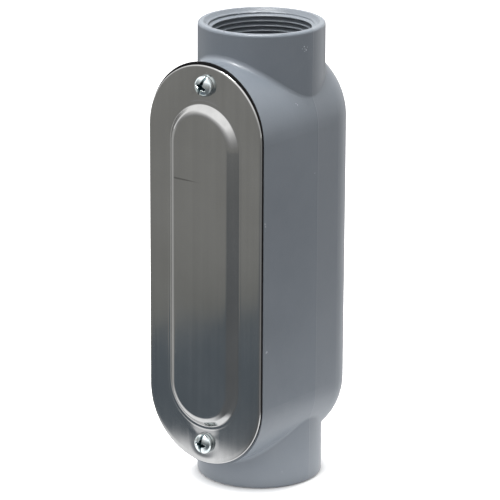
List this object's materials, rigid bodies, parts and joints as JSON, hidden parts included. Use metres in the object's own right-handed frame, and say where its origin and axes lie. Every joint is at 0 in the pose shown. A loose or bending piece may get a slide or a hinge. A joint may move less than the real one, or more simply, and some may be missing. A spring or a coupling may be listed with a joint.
{
  "type": "conduit body",
  "caption": "Straight-run conduit body: a cast housing with a threaded hub at each end and an obround front opening closed by a gasketed, screwed-on cover.",
  "frame": {"origin": "middle of the lower hub's face, on the axis of the conduit run", "axes": "+Z along the run to the upper hub, the cover faces -Y, +X to the right seen from the front"},
  "size_m": [0.0632, 0.0769, 0.2098],
  "materials": {
    "housing_paint": "grey powder coat, satin, on die-cast aluminium",
    "gasket_rubber": "black sheet rubber, matt",
    "cover_sheet": "bare stamped aluminium sheet, satin mill finish",
    "screw_zinc": "bright blue-white zinc plate on steel"
  },
  "bodies": {
    "housing": {"body": "housing_paint"},
    "cover": {"cover": "cover_sheet", "gasket": "gasket_rubber"},
    "screw_upper": {"screw_upper": "screw_zinc"},
    "screw_lower": {"screw_lower": "screw_zinc"}
  },
  "joints": [
    {"name": "cover_off", "type": "slide", "parent": "housing", "child": "cover", "axis": [0, -1, 0], "range_m": [0, 0.04]},
    {"name": "screw_upper_turn", "type": "hinge", "parent": "cover", "child": "screw_upper", "pos_m": [0, -0.04045, 0.18795], "axis": [0, -1, 0], "range_deg": [0, 3470]},
    {"name": "screw_lower_turn", "type": "hinge", "parent": "cover", "child": "screw_lower", "pos_m": [0, -0.04045, 0.02325], "axis": [0, -1, 0], "range_deg": [0, 3470]}
  ]
}
